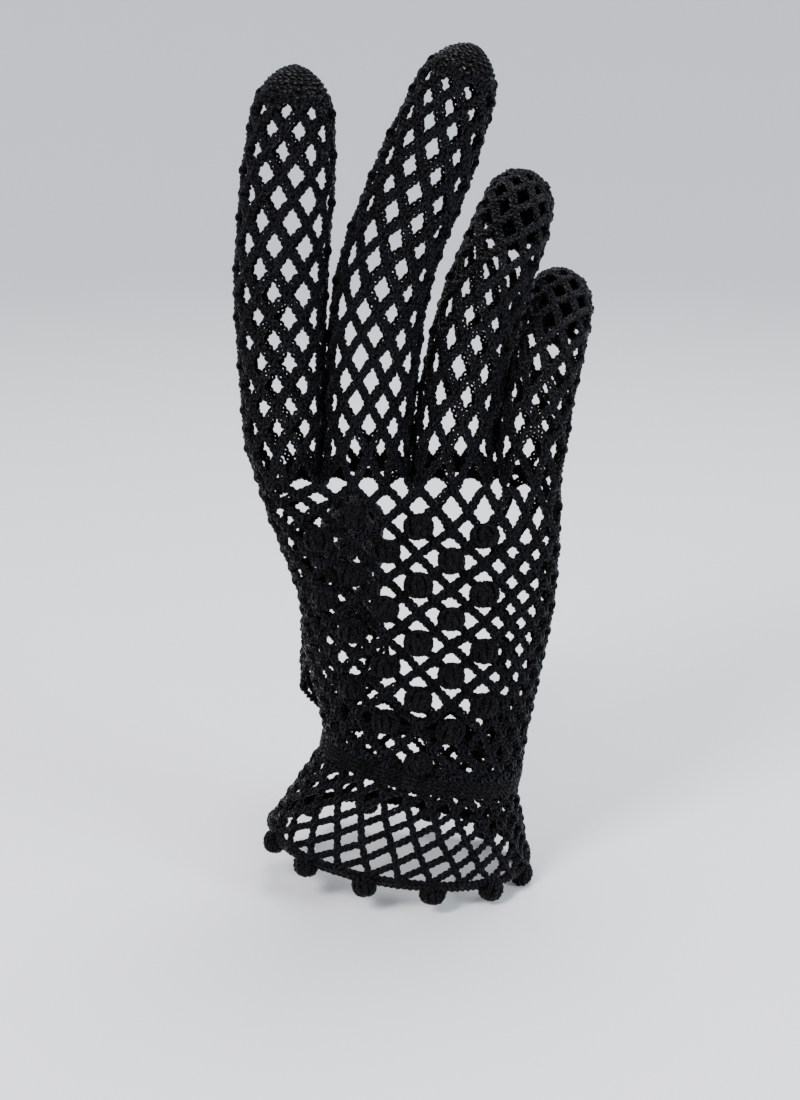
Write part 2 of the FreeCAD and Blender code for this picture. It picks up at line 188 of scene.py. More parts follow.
class Skin:
    """Stack of sections, moved in by an inset, as a grid of height and loop. Loop 0 is near the middle of the
    palm side; loops run past the index side to the back, the little side and round again."""

    PER_LOOP = 8            # columns of the grid for each loop
    MARGIN = 3              # how far the grid goes beyond the first and the last section

    def __init__(self, table, loops, inset, under_popcorns=False):
        self.loops = loops
        self.low = table[0, 0] - self.MARGIN
        heights = np.arange(self.low, table[-1, 0] + self.MARGIN + 1)
        turn = np.linspace(0.25 * math.pi, 2.75 * math.pi, 901)
        c, s = np.cos(turn), np.sin(turn)
        at = np.arange(loops * self.PER_LOOP + 1) / self.PER_LOOP
        grid = []
        for height, x, half_width, half_depth, tilt, squareness in section_at(table, heights):
            along = (half_width - inset) * np.sign(c) * np.abs(c) ** (2 / squareness)
            depth = (half_depth - inset) * np.sign(s) * np.abs(s) ** (2 / squareness)
            t = math.radians(tilt)
            ring = np.stack([x + along * math.cos(t), depth, height - along * math.sin(t)], -1)
            arc = np.concatenate([[0], np.cumsum(np.linalg.norm(np.diff(ring, axis=0), axis=1))])
            if under_popcorns:
                near = np.arange(-BACK_EVEN, BACK_EVEN + 1)
                palm_x = PALM_SPREAD * (BACK_CENTRE + BACK_PITCH * (0.5 - near))
                start, back, end = self.part(45, 135), self.part(185, 355), self.part(405, 495)
                places = np.concatenate([
                    np.interp(-palm_x[BACK_EVEN:], -ring[start, 0], arc[start]),
                    np.interp(BACK_CENTRE + BACK_PITCH * near, ring[back, 0], arc[back]),
                    np.interp(-palm_x[:BACK_EVEN + 1], -ring[end, 0], arc[end]),
                ])
                stations = np.concatenate([near[BACK_EVEN:], loops / 2 + near, loops + near[:BACK_EVEN + 1]])
                wanted = np.interp(at, stations, places)
            else:
                once_round = arc[self.part(90, 450)]
                wanted = once_round[0] + at / loops * (once_round[-1] - once_round[0])
            grid.append(np.stack([np.interp(wanted, arc, ring[:, k]) for k in range(3)], -1))
        self.grid = np.array(grid)

    @staticmethod
    def part(low, high):
        """Where an outline runs from low to high degrees. It has two points a degree and starts at 45."""
        return slice(2 * (low - 45), 2 * (high - 45) + 1)

    def at(self, loop, height):
        """Points at a loop and at the height of a section's middle."""
        u = np.mod(loop, self.loops) * self.PER_LOOP
        v = np.clip(height - self.low, 0, len(self.grid) - 1.001)
        i, j = np.floor(v).astype(int), np.floor(u).astype(int)
        j = np.minimum(j, self.grid.shape[1] - 2)
        fv, fu = (v - i)[..., None], (u - j)[..., None]
        g = self.grid
        return ((g[i, j] * (1 - fu) + g[i, j + 1] * fu) * (1 - fv)
                + (g[i + 1, j] * (1 - fu) + g[i + 1, j + 1] * fu) * fv)


cuff_skin = Skin(CUFF, CUFF_LOOPS, NET / 2)
hand_skin = Skin(HAND, HAND_LOOPS, NET / 2, under_popcorns=True)


def cuff_point(loop, row):
    return cuff_skin.at(loop, CUFF[1, 0] * row / CUFF_ROWS)


def row_height(row):
    """Height of a row of the hand's net on the middle of the back; rows beyond the top are the fingers'."""
    beyond = 4
    rows = (0, POPCORN_TOP_ROW, HAND_ROWS, HAND_ROWS + beyond)
    bottom, top = POPCORN_TOP - ROW * POPCORN_TOP_ROW, HAND_TOP_ROW + beyond * FINGER_ROW
    return np.interp(row, rows, (bottom, POPCORN_TOP, HAND_TOP_ROW, top))


def sloping(row, x):
    """Height of a row on the back at x: rows slope like the popcorns, and run level at the top."""
    slope = ROW_SLOPE * (1 - ramp(row, POPCORN_TOP_ROW, HAND_ROWS))
    return row_height(row) - slope * (x - BACK_CENTRE)


def hand_point(loop, row):
    """Point of the hand's net, moved along its loop until its row slopes as it should and meets the band.
    Seen from the eye, a row of the palm lies behind the back's row PALM_SHIFT rows further up."""
    by_band = 1 - ramp(row, 0, BAND_FADE)
    last = HAND_ROWS - PALM_SHIFT
    height = row_height(row) + 0 * loop
    for _ in range(4):
        p = hand_skin.at(loop, height)
        x, palmward = p[..., 0], np.maximum(p[..., 1], 0)
        behind = sloping(np.minimum(row, last) + PALM_SHIFT, x)
        behind = behind - 2 * palmward * (EYE[2] - behind) / -EYE[1]
        behind = behind + (HAND_TOP_ROW - behind) * np.sqrt(ramp(row, last, HAND_ROWS))
        wanted = sloping(row, x)
        wanted = wanted + (behind - wanted) * ramp(palmward, 0, PALM_DEPTH)
        band = BAND_TOP_Z - math.tan(math.radians(BAND_TILT)) * (x - BAND_TOP_X)
        wanted = wanted + (band - wanted) * by_band
        height = height + wanted - p[..., 2]
    return hand_skin.at(loop, height)


class Stall:
    """The stall of one digit, along a centre line that bends at the digit's hinges."""

    BELOW_ROOT, STEP = 16.0, 0.5        # the centre line goes on below the root, and is kept at these steps

    def __init__(self, name, root, along, flexes, hinges, length, lean, curl, half_width, loops, turns):
        self.name, self.hinges, self.length, self.loops, self.turns = name, hinges, length, loops, turns
        self.lean, self.curl = lean, curl
        self.dome = length - DOME_HEIGHT * half_width[-1]
        self.widths = half_width
        self.stations = (0.0,) + tuple(hinges) + (self.dome,)
        along = unit(np.array(along, float))
        across = unit(np.cross(np.array(flexes, float), along))
        self.axes = np.stack([across, np.cross(along, across), along])
        self.stops = np.arange(-self.BELOW_ROOT, length + 0.01, self.STEP)
        steps = self.direction(self.stops[:-1] + self.STEP / 2) * self.STEP
        line = np.concatenate([np.zeros((1, 3)), np.cumsum(steps, axis=0)])
        start = [np.interp(0.0, self.stops, line[:, k]) for k in range(3)]
        self.line = line - start + np.array(root, float)

    def angle(self, values, s):
        total = np.full(np.shape(s), float(values[0]))
        for k, hinge in enumerate(self.hinges):
            reach = BEND_HALF_LENGTH[k]
            total = total + (values[k + 1] - values[k]) * ramp(s, hinge - reach, hinge + reach)
        return np.radians(total)

    def direction(self, s):
        lean, curl = self.angle(self.lean, s), self.angle(self.curl, s)
        local = np.stack([np.sin(lean) * np.cos(curl), np.sin(curl), np.cos(lean) * np.cos(curl)], -1)
        return local @ self.axes

    def place(self, s):
        return np.stack([np.interp(s, self.stops, self.line[:, k]) for k in range(3)], -1)

    def point(self, loop, s, inset=DIGIT_INSET, leaning=False):
        """Points of the stall's net. Loop 0 is on its little side, and loops run to the palm side first.
        When leaning, a row lies in a plane through the eye."""
        lean = self.angle(self.lean, s)
        normal = self.direction(s)
        side = np.stack([np.cos(lean), 0 * lean, -np.sin(lean)], -1) @ self.axes
        front = np.cross(normal, side)
        turn = 2 * math.pi * loop / self.loops
        if leaning:
            square = np.cross(side, unit(self.place(s) - EYE))
            lean = -(front * square).sum(-1) / np.maximum((normal * square).sum(-1), 0.2)
            fade = 1 - ramp(s, self.dome - LEAN_STOP[0], self.dome + LEAN_STOP[1])
            lean = np.clip(lean, -EYE_LEAN, EYE_LEAN) * ramp(s, 0, LEAN_START) * fade
            reach = np.interp(s, self.stations, self.widths) - inset
            return self.point(loop, s + lean * reach * np.sin(turn), inset)
        width = np.interp(s, self.stations, self.widths)
        depth = width * np.interp(s, (0, self.dome), (ROOT_DEPTH, TIP_DEPTH))
        shrink = np.maximum(1 - ramp(s, self.dome, self.length - inset) ** 2, 0) ** DOME_POWER
        out = side * ((width - inset) * shrink * np.cos(turn))[..., None]
        return self.place(s) + out + front * ((depth - inset) * shrink * np.sin(turn))[..., None]

    def reach(self, k, ease=0.75, least=1.0):
        """Half length over which the net bends at hinge k: long enough not to fold over itself."""
        width = np.interp(self.hinges[k], self.stations, self.widths)
        return ease * width * math.radians(self.turns[k]) + least


def normals(point, loop, row, step=0.05):
    """Outward normals of a net's surface, by small steps along its coordinates."""
    along = point(loop, row + step) - point(loop, row - step)
    around = point(loop + step, row) - point(loop - step, row)
    return unit(np.cross(around, along))


# ---- yarn meshes ---------------------------------------------------------------------------------
class Yarn:
    """Collects tubes of yarn and turns them into one piece."""

    def __init__(self):
        self.co, self.uv, self.corners, self.sizes = [], [], [], []
        self.count = 0

    def add(self, co, faces, uv):
        """faces is (n, corners) and uv is (n, corners, 2)."""
        self.co.append(co.reshape(-1, 3))
        self.corners.append((faces + self.count).ravel())
        self.sizes.append(np.full(len(faces), faces.shape[1]))
        self.uv.append(uv.reshape(-1, 2))

    def tubes(self, centre, reference, radius, sides=SIDES, closed=False):
        """Tubes along centre (n, m, 3). reference is a direction roughly square to each tube."""
        n, m = centre.shape[:2]
        if closed:
            tangent = np.roll(centre, -1, axis=1) - np.roll(centre, 1, axis=1)
        else:
            tangent = np.gradient(centre, axis=1)
        tangent = unit(tangent)
        across = unit(np.cross(reference, tangent))
        up = np.cross(tangent, across)
        turn = 2 * math.pi * np.arange(sides) / sides
        radius = np.broadcast_to(radius, (n, m))[:, :, None, None]
        ring = across[:, :, None] * np.cos(turn)[:, None] + up[:, :, None] * np.sin(turn)[:, None]
        co = centre[:, :, None] + ring * radius
        rings = m if closed else m - 1
        tube, i, k = np.meshgrid(np.arange(n), np.arange(rings), np.arange(sides), indexing="ij")
        j, k2 = (i + 1) % m, (k + 1) % sides
        base = tube * m * sides
        faces = np.stack([base + i * sides + k, base + i * sides + k2, base + j * sides + k2,
                          base + j * sides + k], -1).reshape(-1, 4)
        step = np.linalg.norm(np.roll(centre, -1, axis=1) - centre, axis=2)
        length = np.concatenate([np.zeros((n, 1)), np.cumsum(step, axis=1)], axis=1)
        u0, u1 = length[tube, i], length[tube, i + 1]
        v0, v1 = k / sides, (k + 1) / sides
        uv = np.stack([np.stack([u0, v0], -1), np.stack([u0, v1], -1), np.stack([u1, v1], -1),
                       np.stack([u1, v0], -1)], -2).reshape(-1, 4, 2)
        self.add(co, faces, uv)
        if not closed:
            starts = (np.arange(n) * m * sides)[:, None]
            first = starts + np.arange(sides)[::-1]
            last = starts + (m - 1) * sides + np.arange(sides)
            self.add(np.zeros((0, 3)), np.concatenate([first, last]), np.zeros((2 * n, sides, 2)))
        self.count += n * m * sides

    def ball(self, centre, radius, rings=8, around=12):
        """Closed ball that fills the inside of a cluster."""
        latitude = np.linspace(-0.5 * math.pi, 0.5 * math.pi, rings + 1)[1:-1, None]
        longitude = 2 * math.pi * np.arange(around) / around
        body = np.stack([np.cos(latitude) * np.cos(longitude), np.cos(latitude) * np.sin(longitude),
                         np.sin(latitude) + 0 * longitude], -1).reshape(-1, 3)
        co = np.concatenate([body, [(0, 0, -1), (0, 0, 1)]]) * radius + centre
        i, k = np.meshgrid(np.arange(rings - 2), np.arange(around), indexing="ij")
        k2 = (k + 1) % around
        quads = np.stack([i * around + k, i * around + k2, (i + 1) * around + k2, (i + 1) * around + k], -1)
        k = np.arange(around)
        k2 = (k + 1) % around
        top = (rings - 2) * around
        low_pole, high_pole = len(body), len(body) + 1
        caps = np.concatenate([np.stack([k2, k, 0 * k + low_pole], -1),
                               np.stack([top + k, top + k2, 0 * k + high_pole], -1)])
        quads = quads.reshape(-1, 4)
        self.add(co, quads, np.zeros((len(quads), 4, 2)))
        self.add(np.zeros((0, 3)), caps, np.zeros((len(caps), 3, 2)))
        self.count += len(co)

    def piece(self, name, material):
        mesh = bpy.data.meshes.new(name)
        co = np.concatenate(self.co) * MM
        corners, sizes = np.concatenate(self.corners), np.concatenate(self.sizes)
        mesh.vertices.add(len(co))
        mesh.vertices.foreach_set("co", co.ravel())
        mesh.loops.add(len(corners))
        mesh.loops.foreach_set("vertex_index", corners.astype(np.int32))
        mesh.polygons.add(len(sizes))
        mesh.polygons.foreach_set("loop_start", (np.cumsum(sizes) - sizes).astype(np.int32))
        mesh.polygons.foreach_set("use_smooth", np.ones(len(sizes), bool))
        mesh.uv_layers.new(name="strand").data.foreach_set("uv", np.concatenate(self.uv).ravel())
        mesh.update(calc_edges=True)
        mesh.validate()
        mesh.materials.append(material)
        obj = bpy.data.objects.new(name, mesh)
        bpy.context.scene.collection.objects.link(obj)
        return obj

    def plait(self, path, normal, width, strand=YARN, stitch=STITCH, lift=CHAIN_LIFT, closed=False):
        """Crochet chain: three strands plaited along each path, flat in the surface that has the normal."""
        following = np.roll(path, -1, axis=1) if closed else path[:, 1:]
        step = np.linalg.norm(following - (path if closed else path[:, :-1]), axis=2)
        length = np.concatenate([np.zeros((len(path), 1)), np.cumsum(step, axis=1)], axis=1)
        total = length[:, -1:]
        periods = np.maximum(np.round(total / stitch) / 3, 1 / 3)
        if closed:
            periods = np.maximum(np.round(total / (3 * stitch)), 1)
            tangent = np.roll(path, -1, axis=1) - np.roll(path, 1, axis=1)
            length = length[:, :-1]
        else:
            tangent = np.gradient(path, axis=1)
        across = unit(np.cross(normal, unit(tangent)))
        phase = 2 * math.pi * length / total * periods
        for ply in range(3):
            angle = phase + 2 * math.pi * ply / 3
            sway, rise = np.sin(angle)[..., None], np.sin(2 * angle)[..., None]
            centre = path + across * sway * (width / 2 - strand) + normal * rise * lift
            uneven = rng.normal(0, YARN_ROUGHNESS, (2,) + phase.shape)
            uneven = np.clip(uneven, -2 * YARN_ROUGHNESS, 2 * YARN_ROUGHNESS)
            centre = centre + across * uneven[0][..., None] * strand
            self.tubes(centre, normal, strand * (1 + uneven[1]), closed=closed)

    def knots(self, centre, normal, up):
        """Single crochet stitches that hold the chains together: two loops round each crossing."""
        across = unit(np.cross(up, normal))
        up = np.cross(normal, across)
        turn = 2 * math.pi * np.arange(KNOT_SAMPLES)[:, None] / KNOT_SAMPLES
        for side in (-KNOT_SPREAD, KNOT_SPREAD):
            slant = side * rng.uniform(*KNOT_SLANTS, (len(centre), 1))
            tall = KNOT_SIZE * rng.uniform(*KNOT_HEIGHTS, (len(centre), 1))
            tilt = (up + across * slant) * tall
            ring = (centre + across * side)[:, None] + tilt[:, None] * np.cos(turn)
            ring = ring + KNOT_DEPTH * normal[:, None] * np.sin(turn)
            self.tubes(ring, np.broadcast_to(across[:, None], ring.shape), YARN, closed=True)

    def popcorn(self, centre, up, out, radius):
        """Cluster of tall stitches gathered at both ends: a rounded block, a little different each time."""
        turn = rng.normal(0, POPCORN_TURN)
        level = np.cross(up, out)
        across = level * math.cos(turn) - up * math.sin(turn)
        up = up * math.cos(turn) + level * math.sin(turn)
        half = (radius - POST_DEPTH) * rng.uniform(*POPCORN_SIZES, 3) * POPCORN_SHAPE
        latitude = np.radians(np.linspace(-POST_END, POST_END, POST_SAMPLES))
        post = np.arange(POPCORN_POSTS) + rng.uniform(-POST_SHIFT, POST_SHIFT, POPCORN_POSTS)
        longitude = 2 * math.pi * post / POPCORN_POSTS
        longitude = longitude[:, None] + POST_SLANT * latitude * rng.uniform(-1, 1, (POPCORN_POSTS, 1))
        wide = np.cos(latitude) ** POPCORN_FULLNESS
        path = centre + (across * (half[0] * wide * np.cos(longitude))[..., None]
                         + out * (half[1] * wide * np.sin(longitude))[..., None]
                         + up * (half[2] * np.sin(latitude) + 0 * longitude)[..., None])
        self.plait(path, unit(path - centre), **POST)
        self.ball(centre, min(half))


# ---- nets ----------------------------------------------------------------------------------------
def knot_grid(rows, loops, step, jitter_size):
    """Net coordinates of the knots: (rows + 1, loops, 2). The first and the last row stay level."""
    loop = np.arange(loops) + step * np.arange(rows + 1)[:, None]
    row = np.broadcast_to(np.arange(rows + 1.0)[:, None], loop.shape)
    jitter = np.clip(rng.normal(0, 1, (rows + 1, loops, 2)), -2, 2) * jitter_size
    jitter[[0, -1]] *= (1, 0)
    return np.stack([loop, row], -1) + jitter


def arcs(knots, row):
    """Ends and tops of the arcs that stand on one row: three (loops, 2) arrays."""
    start, top = knots[row], knots[row + 1]
    end = np.roll(start, -1, axis=0)
    end[-1, 0] += len(start)
    return start, top, end


def along_arc(start, top, end, t):
    """Net coordinates along rounded arcs. t is (n, m) from 0 to 1."""
    x = 2 * t - 1
    second = np.where(x > APEX_ROUND, x, np.maximum(x + APEX_ROUND, 0) ** 2 / (4 * APEX_ROUND))
    first = 2 * t - second
    return (start[:, None] + (top - start)[:, None] * first[..., None]
            + (end - top)[:, None] * second[..., None])


def even(n, low=0.0, high=1.0):
    """Evenly spaced places along n arcs, from low to high."""
    return np.linspace(np.zeros(n) + low, np.zeros(n) + high, ARC_SAMPLES, axis=1)


def upward(point, places, base, step=0.1):
    """Directions up a net from base, which are its points at the given coordinates."""
    return unit(point(places[:, 0], places[:, 1] + step) - base)


def lay_net(yarn, point, knots, rows, width, fix=None):
    """Chains and knots of the given rows. fix has the places that the lowest knots are moved to."""
    for row in rows:
        start, top, end = arcs(knots, row)
        t = even(len(start))
        c = along_arc(start, top, end, t)
        path, base = point(c[..., 0], c[..., 1]), point(start[:, 0], start[:, 1])
        up = upward(point, start, base)
        if fix is not None and row == rows[0]:
            moved = (fix - base)[:, None]
            path = path + moved * (1 - ramp(t, 0, PULLED))[..., None]
            path = path + np.roll(moved, -1, axis=0) * ramp(t, 1 - PULLED, 1)[..., None]
            base = fix
        yarn.plait(path, normals(point, c[..., 0], c[..., 1]), width)
        yarn.knots(base, normals(point, start[:, 0], start[:, 1]), up)


# ---- materials -----------------------------------------------------------------------------------
def yarn_material(name, dark, light, roughness, sheen=0.0, twist=TWIST_PITCH):
    """Yarn of two plies with loose fibres: grooves that wind round each strand, with painted shade in the
    grooves and a painted highlight on the crests of the plies, and cloudy black dye.
    """
    material = bpy.data.materials.new(name)
    material.use_nodes = True
    tree = material.node_tree
    tree.nodes.clear()

    def node(kind, **values):
        made = tree.nodes.new(kind)
        for key, value in values.items():
            if key in made.inputs:
                made.inputs[key].default_value = value
            else:
                setattr(made, key, value)
        return made

    def math_node(operation, a, b=None):
        made = tree.nodes.new("ShaderNodeMath")
        made.operation = operation
        for socket, value in zip(made.inputs, (a, b)):
            if isinstance(value, (int, float)):
                socket.default_value = value
            elif value is not None:
                tree.links.new(value, socket)
        return made.outputs[0]

    out = node("ShaderNodeOutputMaterial")
    shader = node("ShaderNodeBsdfPrincipled")
    tree.links.new(shader.outputs[0], out.inputs[0])
    coords = node("ShaderNodeTexCoord")
    cloud = node("ShaderNodeTexNoise", Scale=CLOUDS, Detail=3.0, Roughness=0.6)
    fibre = node("ShaderNodeTexNoise", Scale=FIBRES, Detail=2.0, Roughness=0.7)
    for texture in (cloud, fibre):
        tree.links.new(coords.outputs["Object"], texture.inputs["Vector"])
    uv = node("ShaderNodeUVMap", uv_map="strand")
    split = node("ShaderNodeSeparateXYZ")
    tree.links.new(uv.outputs[0], split.inputs[0])
    turns = math_node("DIVIDE", split.outputs[0], twist)
    plies = math_node("MULTIPLY", split.outputs[1], 2.0)
    angle = math_node("MULTIPLY", math_node("ADD", turns, plies), 2 * math.pi)
    groove = math_node("SINE", angle)
    # painted shade and highlight: the twist's groove darkens the base colour between the plies and lightens
    # it on their crests
    painted_groove_shade = math_node("MULTIPLY", groove, 0.18)
    mixed = math_node("ADD", math_node("ADD", cloud.outputs[0], painted_groove_shade),
                      math_node("MULTIPLY", fibre.outputs[0], 0.35))
    colours = node("ShaderNodeValToRGB")
    for stop, place, colour in zip(colours.color_ramp.elements, (0.42, 0.92), (dark, light)):
        stop.position = place
        stop.color = (*colour, 1)
    tree.links.new(mixed, colours.inputs[0])
    tree.links.new(colours.outputs[0], shader.inputs["Base Color"])
    rough = math_node("ADD", math_node("MULTIPLY", fibre.outputs[0], 0.3), roughness - 0.15)
    tree.links.new(rough, shader.inputs["Roughness"])
    height = math_node("ADD", groove, math_node("MULTIPLY", fibre.outputs[0], 1.2))
    bump = node("ShaderNodeBump", Strength=0.8, Distance=GROOVE_DEPTH)
    tree.links.new(height, bump.inputs["Height"])
    tree.links.new(bump.outputs[0], shader.inputs["Normal"])
    shader.inputs["Sheen Weight"].default_value = sheen
    shader.inputs["Sheen Roughness"].default_value = 0.45
    shader.inputs["Sheen Tint"].default_value = (0.75, 0.82, 1.0, 1)
    shader.inputs["Specular IOR Level"].default_value = GLOSS
    return material


COTTON = yarn_material("black_cotton", (0.0006, 0.0006, 0.0008), (0.0045, 0.0047, 0.0064), 0.25)
DENSE = yarn_material("black_cotton_dense", (0.0005, 0.0005, 0.0006), (0.0035, 0.0036, 0.0048), 0.30)
ELASTIC = yarn_material("black_elastic", (0.006, 0.006, 0.006), (0.02, 0.02, 0.022), 0.5,
                        sheen=0.05, twist=0.6)


def on_body(obj, body, node):
    """A rigid piece: it rides on one body and replaces one CAD node."""
    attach(obj, body)
    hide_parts(node)


# ---- cuff ----------------------------------------------------------------------------------------
cuff_knots = knot_grid(CUFF_ROWS, CUFF_LOOPS, CUFF_STEP, CUFF_JITTER)
yarn = Yarn()
lay_net(yarn, cuff_point, cuff_knots, range(CUFF_ROWS), CUFF_CHAIN)
on_body(yarn.piece("cuff_chains", COTTON), "hand", "cuff_net")


class TiltedOval:
    """Oval of the cuff or the band, tilted so that its index side stands higher."""

    def __init__(self, centre, tilt, half_width, half_depth):
        t = math.radians(tilt)
        self.axis = np.array((math.sin(t), 0, math.cos(t)))
        self.side = np.array((math.cos(t), 0, -math.sin(t)))
        self.centre, self.half_width, self.half_depth = np.array(centre), half_width, half_depth

    def place(self, turn, height, inset):
        """Points at the turns, height along the axis and inset from the oval."""
        across = self.side * np.cos(turn) * (self.half_width - inset)
        return self.centre + self.axis * height + across + PALMWARD * np.sin(turn) * (self.half_depth - inset)

    def outward(self, turn, inset):
        across = self.side * np.cos(turn) / (self.half_width - inset)
        return unit(across + PALMWARD * np.sin(turn) / (self.half_depth - inset))

    def lay_round(self, yarn, height, inset, width, samples, **chain):
        """One round of chain."""
        turn = (2 * math.pi * np.arange(samples) / samples)[None, :, None]
        yarn.plait(self.place(turn, height, inset), self.outward(turn, inset), width, closed=True, **chain)


edge = TiltedOval((0, 0, 0), *CUFF[0, [4, 2, 3]])
yarn = Yarn()
for height, proud, width in EDGING_ROUNDS:
    edge.lay_round(yarn, height, NET / 2 - proud, width, samples=420, strand=0.46)
on_body(yarn.piece("edging_chain", DENSE), "hand", "cuff_edging")

yarn = Yarn()
for k in range(BOBBLES):
    turn = 2 * math.pi * (k + 0.5) / BOBBLES
    out = edge.side * math.cos(turn) + PALMWARD * math.sin(turn)
    yarn.popcorn(edge.place(turn, -EDGING_HEIGHT - BOBBLE_DROP, NET / 2), edge.axis, out, BOBBLE_RADIUS)
on_body(yarn.piece("bobbles", DENSE), "hand", "edge_bobbles")

# ---- band ----------------------------------------------------------------------------------------
band = TiltedOval(BAND_CENTRE, BAND_TILT, *BAND_SIZE)
yarn = Yarn()
for height in BAND_ROUNDS:
    band.lay_round(yarn, height, BAND_INSET, width=1.9, samples=300, strand=0.42, lift=0.4)
on_body(yarn.piece("band_rounds", DENSE), "hand", "wrist_band")

yarn = Yarn()
for height in ELASTIC_ROUNDS:
    band.lay_round(yarn, height, ELASTIC_INSET, width=0.95, samples=240, strand=0.24, stitch=1.1, lift=0.16)
on_body(yarn.piece("elastic_thread", ELASTIC), "hand", "wrist_elastic")

# ---- stalls, and where the thumb leaves the hand -------------------------------------------------
stalls = {name: Stall(name, *spec) for name, spec in DIGITS.items()}
thumb = stalls["thumb"]


def hand_level(p, inset=NET / 2):
    """Below 1 inside the hand's net, above 1 outside."""
    height = p[..., 2]
    for _ in range(3):
        section = section_at(HAND, height)
        tilt = np.radians(section[..., 4])
        along = (p[..., 0] - section[..., 1]) / np.cos(tilt)
        height = p[..., 2] + along * np.sin(tilt)
    power = section[..., 5]
    wide = np.abs(along) / (section[..., 2] - inset)
    return wide ** power + (np.abs(p[..., 1]) / (section[..., 3] - inset)) ** power


def thumb_starts(grid, farthest=45.0, step=0.2, shortest=2.5, smoothing=4):
    """Length at which the thumb's net leaves the hand, for each loop of the grid."""
    lengths = np.arange(0.0, farthest, step)
    inside = hand_level(thumb.point(grid[:, None] + 0 * lengths, lengths + 0 * grid[:, None])) < 1
    last_inside = lengths[len(lengths) - 1 - np.argmax(inside[:, ::-1], axis=1)]
    around = np.maximum(np.where(inside.any(axis=1), last_inside, 0)[:-1], shortest)
    around = np.mean([np.roll(around, k) for k in range(-smoothing, smoothing + 1)], axis=0)
    return np.append(around, around[0])


THUMB_GRID = np.linspace(0, thumb.loops, 73)
THUMB_STARTS = thumb_starts(THUMB_GRID)


def thumb_begin(loop):
    """Length at which a loop of the thumb's net begins."""
    return np.interp(np.mod(loop, thumb.loops), THUMB_GRID, THUMB_STARTS)


def outside_thumb(p, palm_from=6):
    """True where a point of the hand's net is clear of the thumb's tube, or less palmward than palm_from."""
    line, s = thumb.line[::2], thumb.stops[::2]
    flat = p.reshape(-1, 3)
    gap = np.linalg.norm(flat[:, None] - line, axis=2)
    nearest = np.argmin(gap, axis=1)
    width = np.interp(s[nearest], thumb.stations, thumb.widths) - DIGIT_INSET
    clear = (gap[np.arange(len(flat)), nearest] > width) | (flat[:, 1] < palm_from)
    return clear.reshape(p.shape[:-1])


# ---- hand ----------------------------------------------------------------------------------------
def popcorn_places():
    """Loop and row of each popcorn."""
    for row, columns in enumerate(POPCORN_ROWS):
        for column in columns:
            yield HAND_LOOPS / 2 + 2 * column - row % 2, POPCORN_TOP_ROW - 2 * row


hand_knots = knot_grid(HAND_ROWS, HAND_LOOPS, HAND_STEP, HAND_JITTER)
for loop, level in popcorn_places():
    k = int(round(loop - HAND_STEP * level)) % HAND_LOOPS
    hand_knots[level, k] = (k + HAND_STEP * level, level)


def clear_of_thumb(start, top, end, shortest=3):
    """Net coordinates of the arcs. Those that would enter the thumb's tube are cut to what is outside it."""
    c = along_arc(start, top, end, even(len(start)))
    kept = outside_thumb(hand_point(c[..., 0], c[..., 1]))
    whole = kept.all(axis=1)
    parts = [c[whole]]
    last = ARC_SAMPLES - 1
    first_out, last_out = np.argmin(kept, axis=1), last - np.argmin(kept[:, ::-1], axis=1)
    for i in np.flatnonzero(~whole):
        for a, b in ((0, first_out[i]), (last_out[i], last)):
            if b - a > shortest:
                ends = start[i:i + 1], top[i:i + 1], end[i:i + 1]
                parts.append(along_arc(*ends, even(1, a / last, b / last)))
    return np.concatenate(parts)


def lay_hand(name, rows, chosen, node):
    """Chains of the hand's net whose arcs stand on the chosen loops. Returns points of the last row."""
    yarn = Yarn()
    for row in rows:
        start, top, end = arcs(hand_knots, row)
        mine = chosen(np.mod(0.5 * (start[:, 0] + end[:, 0]), HAND_LOOPS))
        start, top, end = start[mine], top[mine], end[mine]
        c = clear_of_thumb(start, top, end)
        path = hand_point(c[..., 0], c[..., 1])
        yarn.plait(path, normals(hand_point, c[..., 0], c[..., 1]), HAND_CHAIN)
        base = hand_point(start[:, 0], start[:, 1])
        shown = outside_thumb(base)
        start, base = start[shown], base[shown]
        yarn.knots(base, normals(hand_point, start[:, 0], start[:, 1]), upward(hand_point, start, base))
    on_body(yarn.piece(name, COTTON), "hand", node)
    return path.reshape(-1, 3)


def on_back(loop):
    return np.abs(loop - HAND_LOOPS / 2) < HAND_LOOPS / 4


BELOW_KNUCKLES = range(HAND_ROWS - 1)
lay_hand("back_chains", BELOW_KNUCKLES, on_back, "back_net")
lay_hand("palm_chains", BELOW_KNUCKLES, lambda loop: ~on_back(loop), "palm_net")
scallop = lay_hand("knuckle_chains", [HAND_ROWS - 1], lambda loop: loop >= 0, "knuckle_round")

yarn = Yarn()
for loop, level in popcorn_places():
    place = np.array([loop]), np.array([float(level)])
    out = normals(hand_point, *place)[0]
    yarn.popcorn(hand_point(*place)[0] + out * NET / 2, unit(UP - out * out[2]), out, POPCORN_RADIUS)
on_body(yarn.piece("popcorns", DENSE), "hand", "back_popcorns")

# ---- webs between the fingers --------------------------------------------------------------------
def web_line(x, near_by=1.2, samples=45):
    """From the back's last round over to the palm's, level for most of the way."""
    near = scallop[np.abs(scallop[:, 0] - x) < near_by]
    front, rear = near[near[:, 1] < 0], near[near[:, 1] > 0]
    front, rear = front[np.argmax(front[:, 2])], rear[np.argmax(rear[:, 2])]
    t = np.linspace(0, 1, samples)[:, None]
    path = front * (1 - t) + rear * t
    path[:, 2] += (WEB_TOP - path[:, 2]) * np.sin(math.pi * t[:, 0]) ** 0.5
    return path


web_lines = {}
for name, x in WEBS.items():
    yarn = Yarn()
    for gap, finger in zip((-WEB_GAP, WEB_GAP), name.split("_")):
        path = web_line(x + gap)
        yarn.plait(path[None], np.broadcast_to(UP, path[None].shape), WEB_CHAIN)
        web_lines.setdefault(finger, []).append(path)
    on_body(yarn.piece(f"web_{name}_chains", COTTON), "hand", f"web_{name}")


